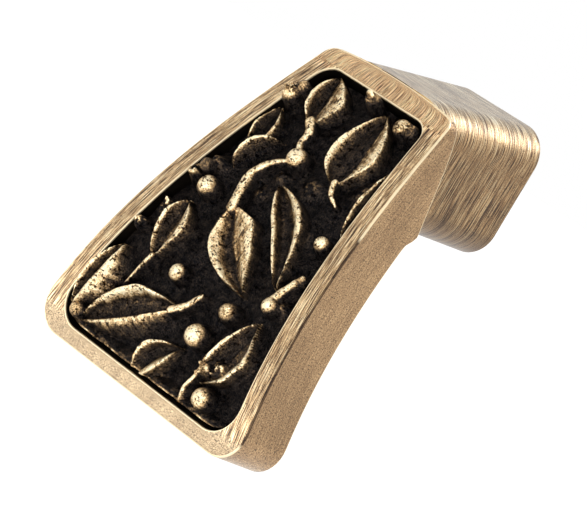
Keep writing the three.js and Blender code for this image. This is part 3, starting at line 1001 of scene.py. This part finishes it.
# %% Brass of the casting
brass, nodes, links, shader = new_material("brushed_brass")
grain = attribute(nodes, "grain").outputs["Vector"]
dark = attribute(nodes, "dark").outputs["Fac"]
streaks = stretched_noise(nodes, links, grain, (9.0, 0.5, 9.0), 2)
hairs = stretched_noise(nodes, links, grain, (12.0, 0.13, 12.0), 1)
crumbs = stretched_noise(nodes, links, grain, (7.0, 5.0, 7.0), 3)
cloud = stretched_noise(nodes, links, grain, (0.35, 0.12, 0.35), 2)
pits = stretched_noise(nodes, links, grain, (6.0, 5.0, 6.0), 2)
calm = attribute(nodes, "calm").outputs["Fac"]
half_streaks = maths(nodes, links, "MULTIPLY", streaks, 0.5)
half_hairs = maths(nodes, links, "MULTIPLY", hairs, 0.5)
brushing = maths(nodes, links, "ADD", half_streaks, half_hairs)
swing = scale_add(nodes, links, calm, -2.75, 3.1)
centred = maths(nodes, links, "SUBTRACT", brushing, 0.5)
brushing = scale_add(nodes, links, centred, swing, 0.5)
centred = maths(nodes, links, "SUBTRACT", crumbs, 0.5)
small_crumbs = maths(nodes, links, "MULTIPLY", centred, 0.35)
brushing = maths(nodes, links, "ADD", brushing, small_crumbs)
small_calm = maths(nodes, links, "MULTIPLY", calm, 0.02)
brushing = maths(nodes, links, "SUBTRACT", brushing, small_calm)
tone = ramp(nodes, links, brushing, [
    (0.32, (0.08, 0.042, 0.02)), (0.45, (0.34, 0.205, 0.098)),
    (0.53, (0.58, 0.375, 0.185)), (0.66, (0.93, 0.7, 0.4)), (0.85, (1.0, 0.88, 0.6))])
shade = ramp(nodes, links, cloud, [(0.35, (0.8, 0.78, 0.76)), (0.65, (1.0, 1.0, 1.0))])
toned = mix_colour(nodes, links, 1.0, tone, shade, "MULTIPLY")
foot_pits = attribute(nodes, "pitted").outputs["Fac"]
foot_pits = maths(nodes, links, "MULTIPLY", foot_pits, 0.8)
pitted = maths(nodes, links, "ADD", calm, foot_pits)
pitted = maths(nodes, links, "MULTIPLY", pitted, 0.055)
pits = maths(nodes, links, "SUBTRACT", pits, pitted)
speck = ramp(nodes, links, pits, [(0.32, (0.3,) * 3), (0.38, (1.0,) * 3)])
toned = mix_colour(nodes, links, 1.0, toned, speck, "MULTIPLY")
# This factor paints light and shade into the colour: on the block, on the foot and top borders and along
# the right front edge.
painted_light = attribute(nodes, "painted_light").outputs["Vector"]
toned = mix_colour(nodes, links, 1.0, toned, painted_light, "MULTIPLY")
# Edges are mixed towards pale gold, partly as wear and partly as a painted highlight.
edge = attribute(nodes, "edge").outputs["Fac"]
edge = maths(nodes, links, "MULTIPLY", edge, 0.8)
toned = mix_colour(nodes, links, edge, toned, (1.0, 0.84, 0.55))
toned = mix_colour(nodes, links, dark, toned, (0.02, 0.014, 0.009))
links.new(toned, shader.inputs["Base Color"])
shader.inputs["Metallic"].default_value = 1.0
rough = ramp(nodes, links, streaks, [(0.3, (0.52,) * 3), (0.7, (0.34,) * 3)])
links.new(rough, shader.inputs["Roughness"])
shader.inputs["Coat Weight"].default_value = 0.5
shader.inputs["Coat Roughness"].default_value = 0.3
add_bump(nodes, links, shader, brushing, 0.3, 0.00003)
plate.data.materials.clear()
plate.data.materials.append(brass)
print("nodes in the brass:", len(nodes))

# %% [markdown]
# The panel was blackened and then rubbed: the dark stays in the ground and the hollows, and the
# crests come back to bright metal. The rubbing is stored point by point from the carving itself,
# and fine noise breaks up its edge.

# %% Brass of the panel
patina, nodes, links, shader = new_material("darkened_brass")
grain = attribute(nodes, "grain").outputs["Vector"]
rubbed = attribute(nodes, "polish").outputs["Fac"]
specks = stretched_noise(nodes, links, grain, (5.0, 5.0, 5.0), 4)
patches = stretched_noise(nodes, links, grain, (1.3, 1.3, 1.3), 2)
fine = stretched_noise(nodes, links, grain, (7.0, 7.0, 7.0), 3)
specks = maths(nodes, links, "MULTIPLY", specks, 1.3)
half_patches = maths(nodes, links, "MULTIPLY", patches, 0.5)
uneven = maths(nodes, links, "ADD", specks, half_patches)
uneven = maths(nodes, links, "SUBTRACT", uneven, 0.9)
rubbed = maths(nodes, links, "MULTIPLY", rubbed, 0.85)
spread = scale_add(nodes, links, rubbed, 0.9, 0.45)
broken = maths(nodes, links, "MULTIPLY", uneven, spread)
broken = maths(nodes, links, "ADD", rubbed, broken)
broken = maths(nodes, links, "ADD", broken, 0.062)
tone = ramp(nodes, links, broken, [
    (0.02, (0.005, 0.005, 0.006)), (0.15, (0.032, 0.025, 0.021)), (0.3, (0.085, 0.058, 0.036)),
    (0.46, (0.33, 0.21, 0.10)), (0.68, (0.74, 0.53, 0.28)), (0.88, (1.0, 0.86, 0.58))])
dents = stretched_noise(nodes, links, grain, (3.6, 3.6, 3.6), 2)
centred = maths(nodes, links, "SUBTRACT", patches, 0.5)
half_patches = maths(nodes, links, "MULTIPLY", centred, 0.5)
dents = maths(nodes, links, "ADD", dents, half_patches)
dent = ramp(nodes, links, dents, [(0.36, (0.07, 0.05, 0.035)), (0.42, (1.0, 1.0, 1.0))])
tone = mix_colour(nodes, links, 1.0, tone, dent, "MULTIPLY")
links.new(tone, shader.inputs["Base Color"])
shader.inputs["Metallic"].default_value = 1.0
rough = ramp(nodes, links, broken, [(0.2, (0.5,) * 3), (0.8, (0.33,) * 3)])
links.new(rough, shader.inputs["Roughness"])
add_bump(nodes, links, shader, fine, 0.9, 0.0002)
panel.data.materials.clear()
panel.data.materials.append(patina)
print("nodes in the patina:", len(nodes))

# %% [markdown]
# ## Tie the pieces to the frame
# Both castings stay still, so they ride on the root body, and each takes the place of its plain
# solid in the measured frame.

# %% Ride and replace
pieces = (
    (plate, "pull_body", "brushed_brass"),
    (panel, "relief_insert", "darkened_brass"),
)
for piece, node, slot in pieces:
    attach(piece, "root")
    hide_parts(node)
    print(piece.name, "stands for", node)

# %% [markdown]
# ## Camera, floor and light
# The camera stands to the right of the pull and in front of it, with a long lens, a little above
# its middle. It is rolled, so that the pull lies across the picture.

# %% Camera
camera = bpy.data.objects.new("camera", bpy.data.cameras.new("camera"))
bpy.context.collection.objects.link(camera)
camera.data.lens = 212.97
camera.data.sensor_width = 36
camera.data.clip_start = 0.01
camera.data.clip_end = 20
RIGHT = (0.6293, 0.5870, 0.5094)
UP = (-0.4415, -0.2694, 0.8559)
BACK = (0.6396, -0.7634, 0.0896)
turn = Matrix([RIGHT, UP, BACK]).transposed().to_4x4()
turn.translation = [value * MM for value in (248.42, -314.74, 12.10)]
camera.matrix_world = turn
bpy.context.scene.camera = camera
print("camera at", [round(value, 3) for value in camera.matrix_world.translation])

# %% [markdown]
# The pull is held by its mounting face, so it floats clear of the floor. The surround is white for
# the camera and in the metal's reflections. It lights the pull with a plain grey.

# %% Surround
def looking_rays(nodes, links):
    """1 for rays that show the surround, in the picture or in metal or glass."""
    path = nodes.new("ShaderNodeLightPath")
    either = maths(nodes, links, "MAXIMUM", path.outputs["Is Camera Ray"], path.outputs["Is Glossy Ray"])
    return maths(nodes, links, "MAXIMUM", either, path.outputs["Is Transmission Ray"])


bpy.ops.mesh.primitive_plane_add(size=8, location=(0, 0, -0.2))
floor = bpy.context.object
floor.name = "floor"
white, nodes, links, shader = new_material("white_surround")
shader.inputs["Base Color"].default_value = (0.8, 0.8, 0.8, 1)
shader.inputs["Roughness"].default_value = 0.9
glow = nodes.new("ShaderNodeEmission")
glow.inputs["Color"].default_value = (1, 1, 1, 1)
glow.inputs["Strength"].default_value = 0.5
lit = nodes.new("ShaderNodeAddShader")
seen = nodes.new("ShaderNodeMixShader")
links.new(looking_rays(nodes, links), seen.inputs[0])
links.new(shader.outputs[0], lit.inputs[0])
links.new(glow.outputs[0], lit.inputs[1])
links.new(shader.outputs[0], seen.inputs[1])
links.new(lit.outputs[0], seen.inputs[2])
links.new(seen.outputs[0], nodes["Material Output"].inputs["Surface"])
floor.data.materials.append(white)
print("floor at", floor.location.z, "m")

# %% World
world = bpy.context.scene.world or bpy.data.worlds.new("studio")
bpy.context.scene.world = world
world.use_nodes = True
nodes, links = world.node_tree.nodes, world.node_tree.links
nodes.clear()
output = nodes.new("ShaderNodeOutputWorld")
dim = nodes.new("ShaderNodeBackground")
dim.inputs["Color"].default_value = (0.7, 0.7, 0.7, 1)
clear = nodes.new("ShaderNodeBackground")
clear.inputs["Color"].default_value = (1, 1, 1, 1)
both = nodes.new("ShaderNodeMixShader")
links.new(looking_rays(nodes, links), both.inputs[0])
links.new(dim.outputs[0], both.inputs[1])
links.new(clear.outputs[0], both.inputs[2])
links.new(both.outputs[0], output.inputs["Surface"])
print("world:", world.name)

# %% [markdown]
# Three lights serve. A large soft one from the left of the picture brings out the carving, a smaller
# one just below the camera lights the borders, and a weak one from the right and behind keeps the
# plate's side readable.

# %% Lights
AIM = np.array([0, -0.02, -0.02])


def soft_light(name, size, power, toward, distance=0.5):
    """A round area light that faces the pull from a direction."""
    data = bpy.data.lights.new(name, "AREA")
    data.shape = "DISK"
    data.size = size
    data.energy = power
    light = bpy.data.objects.new(name, data)
    bpy.context.collection.objects.link(light)
    way = np.array(toward, dtype=float) / np.linalg.norm(toward)
    side = np.cross((0, 0, 1), way)
    side /= np.linalg.norm(side)
    turn = Matrix([side, np.cross(way, side), way]).transposed().to_4x4()
    turn.translation = AIM + way * distance
    light.matrix_world = turn
    print(name, "%.2f m wide, %.1f W" % (size, power))


RIGHT, UP, BACK = map(np.array, (RIGHT, UP, BACK))
soft_light("key", 0.45, 1.9, -RIGHT - 0.05 * UP + 0.12 * BACK)
soft_light("front", 0.16, 3.5, BACK - 0.02 * RIGHT - 0.28 * UP, 0.6)
soft_light("right", 0.22, 0.6, 0.9 * RIGHT + 0.36 * UP - 0.26 * BACK)

# %% [markdown]
# At the end the colours are shown without a film curve, through the Standard view transform.

# %% Finish
bpy.context.scene.view_settings.view_transform = "Standard"
